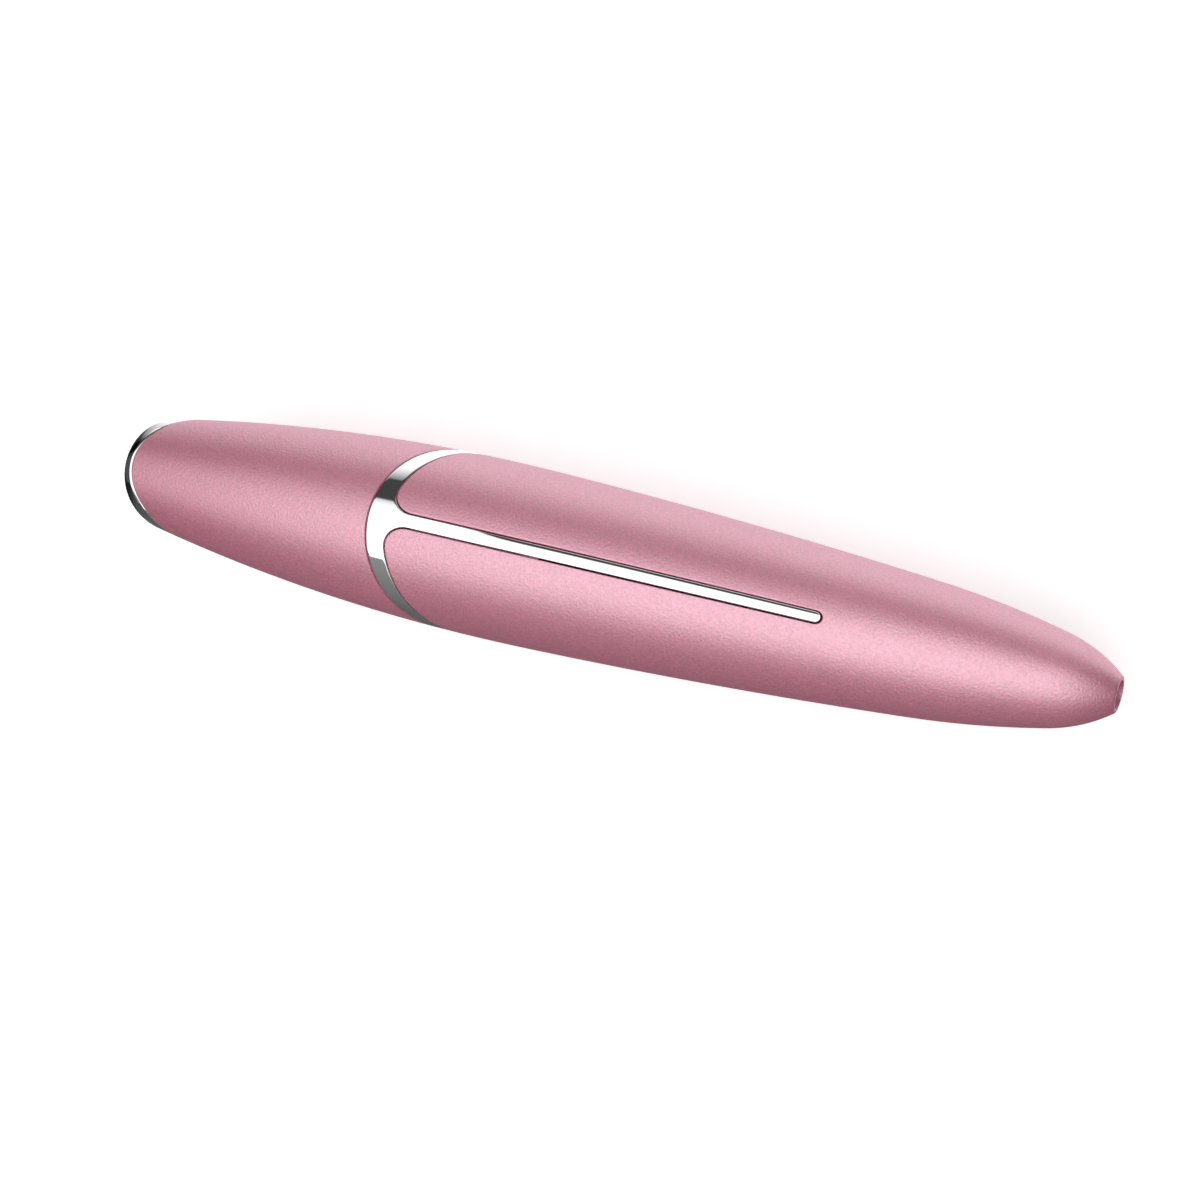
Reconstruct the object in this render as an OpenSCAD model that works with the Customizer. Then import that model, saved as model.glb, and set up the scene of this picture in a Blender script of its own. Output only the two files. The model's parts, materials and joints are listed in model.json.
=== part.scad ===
// Heated eye massager wand: a slim spindle with a slanted metal massage plate,
// a slanted trim band with a long tongue, and a charging socket in the tail.
// The axis of the spindle is X, head at -X and tail at +X. +Z is the side of the tongue.
// The origin is on the axis at mid length. All sizes are in millimetres.

/* [Spindle] */
// Length from the front edge of the massage plate to the tail
length = 132.4; // [128:0.2:140]
// Widest diameter, which lies under the trim band
crest_d = 22.9; // [22.4:0.1:24]
// Distance from the tail to the widest place
crest_from_tail = 82.8; // [81.2:0.2:85]
// Length of the fuller curve behind the widest place
crest_l = 8.6; // [7:0.2:11]
// Radius lost along that fuller curve
crest_drop = 0.12; // [0.06:0.01:0.2]
// Diameter where the handle starts to round off
shoulder_d = 17.04; // [16.6:0.02:17.6]
// Distance from the tail to the shoulder
shoulder_from_tail = 24.3; // [22.5:0.3:26.1]
// Diameter where the tail rounding starts
nose_d = 11.85; // [11.4:0.05:12.2]
// Distance from the tail to the start of its rounding
nose_from_tail = 7.6; // [7:0.1:8.4]
// Diameter of the flat at the tail
tail_d = 4.5; // [4:0.1:5.4]
// Diameter near the head, where the profile is set
brow_d = 15; // [14.6:0.1:15.6]
// Distance from the tail to that place near the head
brow_from_tail = 127.8; // [126.4:0.2:129.2]
// Wall of both shells
wall = 1.5; // [1.2:0.05:1.7]

/* [Slanted cuts] */
// Lean of the band and plate, measured from square to the axis
slant = 34.6; // [30:0.2:38]
// Distance from the tail to the rear edge of the band, on the axis
band_from_tail = 85.1; // [83:0.1:87]
// Width of the band, square to its edges
band_w = 2; // [1.4:0.02:2.6]
// Width of the parting grooves
groove = 0.18; // [0.1:0.01:0.3]
// Distance from the tail to the seam of the massage plate, on the axis
seam_from_tail = 126.7; // [125.9:0.1:127.5]

/* [Trim tongue] */
// Length of the tongue, from the band's rear edge on the axis to its tip
tongue_l = 49.6; // [40:0.2:54]
// Width of the tongue where it leaves the band
tongue_root_w = 1.65; // [1.4:0.05:3]
// Width of the tongue at its round tip
tongue_tip_w = 1.3; // [1:0.05:2.2]
// Radius of the two fillets between tongue and band
tongue_fillet = 2.5; // [1.5:0.1:3.5]
// Depth that the tongue is let into the shell
tongue_depth = 0.8; // [0.5:0.05:0.9]
// Height that the tongue stands proud at its tip
tongue_rise = 0.3; // [0.1:0.05:0.6]

/* [Neck joint] */
// Outer diameter of the neck that the head shell is pushed on
neck_d = 18.4; // [17.8:0.1:18.8]
// Inner diameter of the neck
neck_bore = 15.8; // [15.4:0.1:16.2]
// Reach of the neck ahead of the band, on the axis
neck_reach = 17.75; // [15.5:0.25:20]
// Clearance of fitted plastic faces
fit = 0.05; // [0.02:0.01:0.1]
// Length of the thick collar behind the band
collar_l = 3; // [2:0.1:5]
// Width of the seal ring
seal_w = 1.2; // [0.8:0.1:2]
// Depth of the seal ring's groove
seal_depth = 0.6; // [0.4:0.05:0.8]
// Distance from the neck's front to its seal ring
seal_set = 3.2; // [2.6:0.1:5]
// Height of the snap bead on the neck
bead_h = 0.25; // [0.15:0.05:0.4]
// Distance from the neck's front to the middle of the snap bead
bead_set = 1.4; // [1.2:0.1:1.8]

/* [Massage plate] */
// Height of the dome above the seam
plate_rise = 3; // [2.4:0.1:3.6]
// Radius of the dome
dome_r = 22; // [18:0.5:30]
// Shift of the dome's centre along the slanted face
dome_shift = -0.6; // [-1.2:0.1:0]
// Thickness of the plate's skirt
skirt_t = 0.8; // [0.5:0.05:1]
// Depth of the skirt inside the head shell
skirt_l = 2.6; // [2:0.1:3.4]
// Thickness of the gasket in the seam
gasket_t = 0.2; // [0.15:0.05:0.4]
// Thickness of the heating film
film_t = 0.2; // [0.1:0.05:0.4]
// Thickness of the foam that presses the film
foam_t = 0.8; // [0.5:0.1:1.2]
// Thickness of the carrier behind the foam
carrier_t = 1.4; // [1:0.1:2]
// Distance between the two carrier screws
carrier_screw_span = 7; // [6:0.1:7.6]
// Shank diameter of the small screws
screw_d = 1.2; // [1:0.05:1.4]
// Head diameter of the small screws
screw_head_d = 2.2; // [1.9:0.05:2.5]
// Head height of the small screws
screw_head_h = 0.6; // [0.4:0.05:0.8]
// Bite of the carrier screws in the plate
carrier_screw_bite = 1.4; // [1:0.1:1.5]

/* [Vibration motor] */
// Diameter of the motor can
motor_d = 7; // [6:0.1:7.4]
// Length of the motor can
motor_l = 11; // [9:0.1:11.5]
// Distance from the tail to the rear face of the motor
motor_from_tail = 107.2; // [106.4:0.1:108]
// Wall of the motor can
can_wall = 0.35; // [0.25:0.05:0.5]
// Thickness of the rubber sleeve
sleeve_t = 0.9; // [0.6:0.05:1.2]
// Diameter of the motor shaft
shaft_d = 0.8; // [0.6:0.05:1]
// Running clearance of the shaft in its bushes
shaft_play = 0.02; // [0.01:0.01:0.05]
// Radius of the eccentric weight
weight_r = 3.1; // [2.4:0.1:3.4]
// Length of the eccentric weight
weight_l = 4.4; // [3:0.1:4.6]
// Gap that moving pieces keep from fixed ones
run_gap = 0.3; // [0.2:0.05:0.4]
// Diameter of the armature
armature_d = 3.6; // [3:0.1:3.9]
// Thickness of the magnet ring
magnet_t = 0.9; // [0.6:0.05:1]

/* [Battery] */
// Diameter of the cell
cell_d = 10.2; // [9:0.1:10.4]
// Length of the cell
cell_l = 44; // [36:0.5:45]
// Distance from the tail to the rear end of the cell
cell_from_tail = 54.5; // [54:0.25:57]
// Drop of the cell below the axis
cell_drop = 1.6; // [1.2:0.1:1.8]
// Thickness of the nickel tabs
tab_t = 0.2; // [0.1:0.05:0.4]
// Clearance around the cell and the frame
frame_gap = 0.15; // [0.1:0.05:0.25]

/* [Circuit board] */
// Length of the board
board_l = 32; // [29:0.5:33]
// Width of the board
board_w = 8.6; // [7.6:0.1:9]
// Thickness of the board
board_t = 0.8; // [0.6:0.05:1]
// Distance from the tail to the rear end of the board
board_from_tail = 20; // [19:0.25:22]
// Depth of the board's upper face below the axis
board_drop = 3; // [2.8:0.1:3.2]
// Distance from the board's ends to its screws
board_screw_inset = 4.6; // [3.6:0.2:5.6]
// Thickness of the frame's deck above the board
deck_t = 1.2; // [0.9:0.1:1.8]
// Width of the frame's deck
deck_w = 8; // [6:0.1:8.4]
// Width of the tact switch
switch_w = 4.5; // [3.6:0.1:5]
// Height of the tact switch's body
switch_h = 1.8; // [1.5:0.05:2]
// Diameter of the switch plunger
plunger_d = 2; // [1.4:0.1:2.4]

/* [Power button] */
// Distance from the tail to the centre of the button
button_from_tail = 41.5; // [39:0.25:44]
// Diameter of the button
button_d = 7; // [6:0.1:8]
// Travel of the button
button_travel = 0.3; // [0.2:0.05:0.5]
// Width of the button's inner flange
flange_w = 0.8; // [0.5:0.05:1.2]
// Thickness of the button's inner flange
flange_t = 0.6; // [0.4:0.05:0.8]
// Gap around the button
button_gap = 0.15; // [0.1:0.01:0.25]
// Thickness of the button's seal
button_seal_t = 0.4; // [0.3:0.05:0.6]
// Thickness of the shell's lip that keeps the button in
button_lip_t = 0.75; // [0.6:0.05:0.9]
// Thickness of the boss around the button's seat
button_boss_t = 0.8; // [0.6:0.05:1]

/* [Charging socket] */
// Diameter of the charging opening
socket_bore = 3.6; // [3.2:0.05:3.7]
// Depth of the charging opening
socket_depth = 15; // [13:0.5:15.5]
// Outer diameter of the socket body
socket_d = 5.4; // [5:0.1:5.8]
// Closed end behind the bore
socket_back = 2; // [1.5:0.1:3]
// Distance from the tail to the front of the socket body
socket_from_tail = 3.8; // [3.5:0.1:4.5]
// Length of the shell's seat that takes the front of the socket
seat_l = 2.5; // [1.5:0.1:3.5]
// Wall of the frame's ring around the socket
ring_t = 1.2; // [0.8:0.1:1.6]
// Length of the frame's ring around the socket
ring_l = 6; // [4:0.2:7]
// Diameter of the socket's middle pin
pin_d = 1; // [0.8:0.05:1.2]
// Diameter of the contact at the bottom of the opening
contact_d = 2.4; // [1.8:0.1:2.8]
// Diameter of a lead with its insulation
lead_d = 0.7; // [0.5:0.05:0.8]

/* [Hidden] */
$fn = 96;
arc_fn = 512;
big = 3*length;
tiny = 0.01;
point_step = 1.2;

// ---- stations of the profile: the axis is 2D x, the radius is 2D y
tail_x = length/2;
crest = [tail_x - crest_from_tail, crest_d/2];
back = crest + [crest_l, -crest_drop];
shoulder = [tail_x - shoulder_from_tail, shoulder_d/2];
nose = [tail_x - nose_from_tail, nose_d/2];
tail = [tail_x, tail_d/2];
brow = [tail_x - brow_from_tail, brow_d/2];

// An arc that starts at p, where its radius leans by a, and runs through q.
// It returns the centre, the radius and the lean at q.
function arc(p, a, q) =
    let (n = [-sin(a), -cos(a)], d = q - p, r = (d*d)/(2*(d*n)), c = p + r*n)
    [c, r, atan2(q.x - c.x, q.y - c.y)];
head_arc = arc(crest, 0, brow);
crest_arc = arc(crest, 0, back);
long_arc = arc(back, crest_arc[2], shoulder);
shoulder_arc = arc(shoulder, long_arc[2], nose);
nose_arc = arc(nose, shoulder_arc[2], tail);
// the head's arc runs on past the brow, where the plate's dome cuts it
head_run_on = 1.2;
// radius of the skin on the long arc
function long_r(x) = long_arc[0].y + sqrt(pow(long_arc[1], 2) - pow(x - long_arc[0].x, 2));

// ---- axis crossings of the slanted cuts
slope = tan(slant);
band_rear = tail_x - band_from_tail;
band_front = band_rear - band_w/cos(slant);
seam_x = tail_x - seam_from_tail;
collar_rear = band_rear + collar_l;

// ---- tongue: over it the skin leaves the crest with the shell's own and stands proud at the tip
tongue_root_x = band_rear - slope*crest.y;
tongue_tip_x = band_rear + tongue_l;
proud_arc = arc(crest, 0, [tongue_tip_x, long_r(tongue_tip_x) + tongue_rise]);

// ---- neck joint
neck_front = band_rear - neck_reach;
neck_r = neck_d/2;
bore_r = neck_bore/2;
seal_x = neck_front + seal_set;
bead_r = 0.6;

// ---- heated head: depths behind the seam, square to it
foam_d = film_t + 2*fit;
carrier_d = foam_d + foam_t + fit;
carrier_back = carrier_d + carrier_t;
inside_skirt = wall + 2*fit + skirt_t;
thermistor_r = 1.1;
screw_r = screw_d/2;

// ---- vibration motor
motor_x1 = tail_x - motor_from_tail;
motor_x0 = motor_x1 - motor_l;
can_r = motor_d/2;
can_bore_r = can_r - can_wall;
sleeve_r = can_r + fit + sleeve_t;
sleeve_set = 0.6;
shaft_r = shaft_d/2;
bush_l = 1.6;
bush_r = shaft_r + 0.5;
bush_x1 = motor_x1 + can_wall;
end_cap_l = 1.4;
end_cap_floor = 0.5;
hub_r = shaft_r + 0.7;
weight_x0 = motor_x1 + can_wall + run_gap;
weight_x1 = weight_x0 + weight_l;

// ---- inner frame and battery
frame_r = bore_r - frame_gap;
cell_x1 = tail_x - cell_from_tail;
cell_x0 = cell_x1 - cell_l;
cell_r = cell_d/2;
nub_l = 0.8;
nub_r = 0.4*cell_r;
end_gap = tab_t + 2*fit + frame_gap;
end_wall = 1.2;
tray_x0 = cell_x0 - end_gap - end_wall;
tray_x1 = cell_x1 + end_gap + end_wall;
cradle_set = 1.2;
keel_lap = 2;
spine_w = 2;
tab_w = 3;
tab_foot = 2;
front_tab_z = 4.4;
rear_tab_h = 5;
battery_foam_w = 2.2;
battery_foam_l = 10;
battery_foam_x = neck_front + 12;

// ---- circuit board
board_x1 = tail_x - board_from_tail;
board_x0 = board_x1 - board_l;
board_z = -board_drop - board_t;
board_screw_x = [board_x0 + board_screw_inset, board_x1 - board_screw_inset];
board_screw_bite = 0.8;
boss_h = 1.2;
boss_r = screw_r + 1;
deck_z = -board_drop + fit;
deck_x0 = board_screw_x[0] - boss_r - 0.2;
deck_x1 = board_screw_x[1] + boss_r + 0.2;
// length, width and height of the two chips, and their places behind the button
control_chip_size = [4, 4, 0.9];
control_chip_set = switch_w/2 + 4.2;
charge_chip_size = [3, 2.6, 1.1];
charge_chip_set = switch_w/2 + 9;

// ---- power button: levels on the side away from the tongue
button_x = tail_x - button_from_tail;
button_r = button_d/2;
flange_r = button_r + flange_w;
seat_z = -(long_r(button_x) - wall) + button_lip_t;
flange_z = seat_z + button_seal_t + 2*fit;
switch_z = board_z - switch_h;
plunger_r = plunger_d/2;
plunger_entry = 0.4;

// ---- charging socket
socket_x1 = tail_x - socket_from_tail;
socket_floor = tail_x - socket_depth;
socket_x0 = socket_floor - socket_back;
socket_r = socket_d/2;
socket_bore_r = socket_bore/2;
ring_x0 = socket_x0 - 0.5;
pin_r = pin_d/2;
contact_r = contact_d/2;
contact_t = 0.3;
contact_x = socket_floor - fit;
leaf_w = 1.2;
leaf_l = 9;
leaf_t = 0.3;
leaf_z = socket_bore_r + 2*fit;
contact_tail = 2.2;

// ---- leads: they run along the roof of the handle, three on each side
lead_r = lead_d/2;
heater_lead_y = 1.6;
carrier_lead_z = 2.4;
roof_z = 6.2;
solder_z = deck_z + lead_r/2;
lead_ring = [for (i = [0:2]) [heater_lead_y + 1.35*i, roof_z - 0.25*i - 0.22*i*i]];
pad_x = board_x0 + 1.3;
lead_fn = 24;

// ---- shared shapes

// Area under one arc, between the leans a0 and a1, with the skin moved in by inset
module under_arc(curve, a0, a1, inset) {
    r = curve[1] - inset;
    x0 = curve[0].x + r*sin(a0);
    x1 = curve[0].x + r*sin(a1);
    intersection() {
        translate(curve[0]) circle(r, $fn = arc_fn);
        translate([x0, 0]) square([x1 - x0, crest_d]);
    }
}

// Half profile of the spindle
module half_profile(inset) {
    under_arc(head_arc, head_arc[2]*head_run_on, 0, inset);
    under_arc(crest_arc, 0, crest_arc[2], inset);
    under_arc(long_arc, crest_arc[2], long_arc[2], inset);
    under_arc(shoulder_arc, long_arc[2], shoulder_arc[2], inset);
    under_arc(nose_arc, shoulder_arc[2], nose_arc[2], inset);
}

module revolve_x() rotate([0, 90, 0]) rotate_extrude() mirror([1, -1]) children();
module spindle(inset = 0) revolve_x() half_profile(inset);

// The same skin as points about point_step apart, for thin pieces that follow it.
// Points along one arc between two leans, without the last one
function arc_points(curve, a0, a1, inset) =
    let (r = curve[1] - inset, steps = ceil(abs(a1 - a0)*PI/180*r/point_step))
    [for (i = [0:steps - 1]) let (a = a0 + (a1 - a0)*i/steps) curve[0] + r*[sin(a), cos(a)]];
// Lean of an arc at a place along the axis, and the point there
function lean_at(curve, x, inset) = asin((x - curve[0].x)/(curve[1] - inset));
function skin_point(curve, x, inset) =
    let (a = lean_at(curve, x, inset)) curve[0] + (curve[1] - inset)*[sin(a), cos(a)];
// Points of the shell's own skin from x0, ahead of the crest, to x1 on the long arc
function shell_skin(x0, x1, inset) = concat(
    arc_points(head_arc, lean_at(head_arc, x0, inset), 0, inset),
    arc_points(crest_arc, 0, crest_arc[2], inset),
    arc_points(long_arc, crest_arc[2], lean_at(long_arc, x1, inset), inset),
    [skin_point(long_arc, x1, inset)]
);
// Points of the skin over the tongue
function proud_skin(x0, x1) = concat(
    arc_points(head_arc, lean_at(head_arc, x0, 0), 0, 0),
    arc_points(proud_arc, 0, lean_at(proud_arc, x1, 0), 0),
    [skin_point(proud_arc, x1, 0)]
);
module revolve_skin(points) revolve_x()
    polygon(concat([[points[0].x, 0]], points, [[points[len(points) - 1].x, 0]]));

module x_cylinder(x0, x1, r) translate([x0, 0, 0]) rotate([0, 90, 0]) cylinder(h = x1 - x0, r = r);
module x_tube(x0, x1, r0, r1) difference() {
    x_cylinder(x0, x1, r1);
    x_cylinder(x0 - 1, x1 + 1, r0);
}
// Everything between two square cuts, and everything below a level
module between(x0, x1) translate([x0, -big, -big]) cube([x1 - x0, 2*big, 2*big]);
module below(z) translate([-big, -big, z - big]) cube([2*big, 2*big, big]);
// Box of the given size, centred on the plane of the board, standing on a level
module box(x, size, z0) translate([x - size.x/2, -size.y/2, z0]) cube(size);

// Frame of a slanted face that crosses the axis at x0: local X is square to it, local Z runs up it
module slanted(x0) translate([x0, 0, 0]) rotate([0, -slant, 0]) children();
// Slab of a slanted face, from depth d0 to depth d1 behind it
module slab(x0, d0, d1) slanted(x0) between(d0, d1);
// Upright cylinder under the button, from below the spindle to a level
module under_button(z1, r) translate([button_x, 0, -crest_d]) cylinder(h = crest_d + z1, r = r);

// Plan of the tongue with its fillets, grown by g, seen from +Z
module tongue_plan(g) {
    start_x = tongue_root_x - 1;
    tip_r = tongue_tip_w/2;
    tip_x = tongue_tip_x - tip_r;
    root = tongue_root_w/2;
    fillet_y = root + tongue_fillet;
    polygon([[start_x, root + g], [tip_x, tip_r + g], [tip_x, -tip_r - g], [start_x, -root - g]]);
    translate([tip_x, 0]) circle(tip_r + g);
    difference() {
        translate([start_x, -fillet_y]) square([tongue_fillet + 1, 2*fillet_y]);
        for (side = [-1, 1])
            translate([tongue_root_x + tongue_fillet, side*fillet_y]) circle(tongue_fillet - g);
    }
}
module over_tongue(g) translate([0, 0, 1]) linear_extrude(crest_d) tongue_plan(g);

// Lead through a list of points, with a ball in each bend
module lead(points) {
    for (i = [1:len(points) - 1]) {
        d = points[i] - points[i - 1];
        translate(points[i - 1]) rotate([0, acos(d.z/norm(d)), atan2(d.y, d.x)])
            cylinder(h = norm(d), r = lead_r, $fn = lead_fn);
    }
    for (i = [1:len(points) - 2]) translate(points[i]) sphere(lead_r*1.04, $fn = lead_fn);
}

// Places of the carrier screws on the slanted face
module carrier_screw_places() slanted(seam_x) for (side = [-1, 1])
    translate([0, side*carrier_screw_span/2, dome_shift]) rotate([0, 90, 0]) children();
module board_screw_places(z) for (x = board_screw_x) translate([x, 0, z]) children();

// ---- shells and trim

// Torus of the snap bead at the neck's front, or of its groove
module neck_bead(grow) translate([neck_front + bead_set, 0, 0]) rotate([0, 90, 0]) rotate_extrude()
    translate([neck_r + bead_h - bead_r, 0]) circle(bead_r + grow, $fn = 48);

module rear_shell() color("#d79ab0") difference() {
    union() {
        intersection() {
            spindle();
            slab(band_rear, 0, big);
        }
        // neck, which runs back to the rear face of the collar
        intersection() {
            x_cylinder(neck_front, tail_x, neck_r);
            slab(collar_rear, -big, 0);
        }
        neck_bead(0);
    }
    // hollow of the handle, behind the collar, with a boss left standing for the button
    difference() {
        intersection() {
            spindle(wall);
            slab(collar_rear, 0, big);
            between(-big, socket_x1 - seat_l);
        }
        under_button(seat_z, flange_r + button_boss_t);
    }
    x_cylinder(neck_front - 1, collar_rear + slope*crest.y, bore_r);
    // groove of the seal ring
    x_tube(seal_x, seal_x + seal_w, neck_r - seal_depth, crest_d);
    // pocket of the tongue
    difference() {
        over_tongue(groove);
        spindle(tongue_depth + fit);
    }
    // hole and seat of the button
    under_button(0, button_r + button_gap);
    translate([button_x, 0, seat_z]) cylinder(h = -seat_z, r = flange_r + button_gap);
    // seat of the socket, and the charging opening
    x_cylinder(socket_x1 - seat_l - 1, socket_x1 + fit, socket_r + fit);
    x_cylinder(socket_x1 - 1, tail_x + 1, socket_bore_r);
}

module head_shell() color("#d79ab0") difference() {
    intersection() {
        spindle();
        slab(band_front, -big, 0);
        slab(seam_x, 0, big);
    }
    intersection() {
        spindle(wall);
        between(-big, neck_front);
    }
    x_cylinder(neck_front - fit, 0, neck_r + fit);
    neck_bead(fit);
}

module trim_band() color("#d8d8dc") {
    front_x = band_front - slope*crest.y - 2;
    difference() {
        intersection() {
            revolve_skin(shell_skin(front_x, band_rear + slope*crest.y + 2, 0));
            slab(band_rear, -big, -groove);
            slab(band_front, groove, big);
        }
        x_cylinder(front_x, crest_d, neck_r + fit);
    }
    // the tongue lies in the shell's pocket and runs into the band
    difference() {
        intersection() {
            revolve_skin(proud_skin(front_x, tongue_tip_x + 1));
            over_tongue(0);
            slab(band_rear, -groove - 0.1, big);
        }
        revolve_skin(shell_skin(front_x, tongue_tip_x + 2, tongue_depth));
    }
}

module neck_seal() color("#3a3a3e")
    x_tube(seal_x + fit, seal_x + seal_w - fit, neck_r - seal_depth + tiny, neck_r + fit/2);

// ---- heated head

module massage_plate() color("#d8d8dc") difference() {
    union() {
        intersection() {
            spindle();
            slab(seam_x, -big, -gasket_t);
            dome();
        }
        intersection() {
            revolve_skin(shell_skin(seam_x - crest.y, back.x + 1, wall + fit));
            slab(seam_x, -gasket_t - 1, skirt_l);
            dome();
        }
    }
    intersection() {
        revolve_skin(shell_skin(seam_x - crest.y, back.x + 1, wall + fit + skirt_t));
        slab(seam_x, 0, big);
    }
    // threaded holes of the carrier screws
    carrier_screw_places() translate([0, 0, -carrier_screw_bite - 0.2])
        cylinder(h = carrier_screw_bite + 1, r = screw_r + fit/2, $fn = 48);
}
module dome() slanted(seam_x) translate([dome_r - plate_rise, 0, dome_shift]) sphere(dome_r, $fn = 256);

module plate_gasket() color("#3a3a3e") difference() {
    intersection() {
        spindle(groove);
        slab(seam_x, -gasket_t, 0);
    }
    spindle(wall - fit);
}

// Slice of the space inside the plate's skirt, with clearance holes for the two screws
module skirt_slice(d0, d1) difference() {
    intersection() {
        spindle(inside_skirt);
        slab(seam_x, d0, d1);
    }
    carrier_screw_places() translate([0, 0, -1]) cylinder(h = 9, r = screw_r + 2*fit, $fn = 48);
}
module heating_film() color("#c8742c") skirt_slice(fit, film_t + fit);
module film_foam() color("#8d8f94") difference() {
    skirt_slice(foam_d, foam_d + foam_t);
    slanted(seam_x) translate([0, 0, dome_shift]) rotate([0, 90, 0])
        cylinder(h = 9, r = thermistor_r + 4*fit);
}
module thermistor() color("#20242a") slanted(seam_x)
    translate([foam_d, 0, dome_shift]) rotate([0, 90, 0]) cylinder(h = foam_t - fit, r = thermistor_r);
module plate_carrier() color("#e6e2da") difference() {
    skirt_slice(carrier_d, carrier_back);
    // holes for the two heater leads
    for (side = [-1, 1]) slanted(seam_x)
        translate([carrier_d - 1, side*heater_lead_y, carrier_lead_z]) rotate([0, 90, 0])
            cylinder(h = carrier_t + 2, r = lead_r + 2*fit);
}

// Small screw, shank along -Z, head on top
module screw(shank_l) {
    difference() {
        cylinder(h = screw_head_h, r = screw_head_d/2, $fn = 48);
        translate([-screw_head_d/8, -screw_head_d/3, screw_head_h/2])
            cube([screw_head_d/4, screw_head_d/1.5, 1]);
    }
    translate([0, 0, -shank_l]) cylinder(h = shank_l + tiny, r = screw_r, $fn = 48);
}
module carrier_screws() color("#9a9ca2") carrier_screw_places()
    translate([0, 0, carrier_back]) screw(carrier_back + carrier_screw_bite);

// ---- vibration motor

module motor_can() color("#b9bcc2") difference() {
    x_cylinder(motor_x0, motor_x1, can_r);
    x_cylinder(motor_x0 - 1, motor_x1 - can_wall, can_bore_r);
    x_cylinder(motor_x0, motor_x1 + 1, bush_r + tiny);
}
module motor_end_cap() color("#26282c") difference() {
    x_cylinder(motor_x0 + tiny, motor_x0 + end_cap_l, can_bore_r - tiny);
    x_cylinder(motor_x0 + end_cap_floor, motor_x0 + end_cap_l + 1, shaft_r + shaft_play);
}
module motor_magnet() color("#55585e") x_tube(motor_x0 + end_cap_l + run_gap,
    motor_x1 - can_wall - run_gap, can_bore_r - magnet_t, can_bore_r - tiny);
module motor_bush() color("#b08a3c") x_tube(bush_x1 - bush_l, bush_x1, shaft_r + shaft_play, bush_r);
module motor_sleeve() color("#303236")
    x_tube(motor_x0 + sleeve_set, motor_x1 - sleeve_set, can_r + fit, sleeve_r);
module motor_shaft() color("#d0d2d6")
    x_cylinder(motor_x0 + end_cap_floor + run_gap, weight_x1 + run_gap, shaft_r);
module motor_armature() color("#a8642a") difference() {
    x_tube(motor_x0 + end_cap_l + 2*run_gap, bush_x1 - bush_l - run_gap, shaft_r + tiny, armature_d/2);
    for (i = [0:2]) rotate([120*i, 0, 0])
        translate([motor_x0, -0.25, shaft_r + 0.5]) cube([motor_l, 0.5, can_r]);
}
module eccentric_weight() color("#7c7f86") difference() {
    union() {
        intersection() {
            x_cylinder(weight_x0, weight_x1, weight_r);
            below(0);
        }
        x_cylinder(weight_x0, weight_x1, hub_r);
    }
    x_cylinder(weight_x0 - 1, weight_x1 + 1, shaft_r + tiny);
}

// ---- inner frame and battery

module cell_axis() translate([0, 0, -cell_drop]) children();

module inner_frame() color("#ded9cf") difference() {
    intersection() {
        union() {
            // cradle of the motor, its keel, and the tray of the cell
            intersection() {
                between(motor_x0 + cradle_set, motor_x1 - cradle_set);
                below(0);
            }
            intersection() {
                between(motor_x1 - keel_lap, tray_x0 + 1);
                below(-weight_r - 2*run_gap);
            }
            intersection() {
                between(tray_x0, tray_x1);
                below(-cell_drop);
            }
            // deck above the board, on a spine, with two screw bosses
            translate([tray_x1 - 1, -spine_w/2, deck_z]) cube([ring_x0 - tray_x1 + 2, spine_w, deck_t]);
            translate([deck_x0, -deck_w/2, deck_z]) cube([deck_x1 - deck_x0, deck_w, deck_t]);
            board_screw_places(deck_z) cylinder(h = deck_t + boss_h, r = boss_r, $fn = 48);
            x_cylinder(ring_x0, ring_x0 + ring_l, socket_r + fit + ring_t);
        }
        spindle(wall + frame_gap);
        x_cylinder(-big, big, frame_r);
    }
    x_cylinder(motor_x0, motor_x1 - sleeve_set + fit, sleeve_r + fit);
    x_cylinder(motor_x1 - 1, tray_x0, weight_r + run_gap);
    cell_axis() x_cylinder(cell_x0 - end_gap, cell_x1 + end_gap, cell_r + frame_gap);
    x_cylinder(ring_x0 - 1, ring_x0 + ring_l + 1, socket_r + fit);
    board_screw_places(-crest.y) cylinder(h = crest_d, r = screw_r + fit/2, $fn = 48);
}

module battery_cell() color("#2f6db5") cell_axis() {
    x_cylinder(cell_x0 + nub_l, cell_x1, cell_r);
    x_cylinder(cell_x0, cell_x0 + nub_l + tiny, nub_r);
}
module battery_tabs() color("#c9cbd0") {
    foot_z = -cell_drop - tab_foot;
    translate([cell_x0 - fit - tab_t, -tab_w/2, foot_z]) cube([tab_t, tab_w, front_tab_z - foot_z]);
    translate([cell_x1 + fit, -tab_w/2, foot_z]) cube([tab_t, tab_w, rear_tab_h]);
}
module battery_foam() color("#4a4d52") difference() {
    intersection() {
        translate([battery_foam_x, -battery_foam_w/2, 0])
            cube([battery_foam_l, battery_foam_w, crest_d]);
        x_cylinder(-big, big, bore_r - fit);
    }
    cell_axis() x_cylinder(-big, big, cell_r + fit);
}

// ---- circuit board

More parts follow.
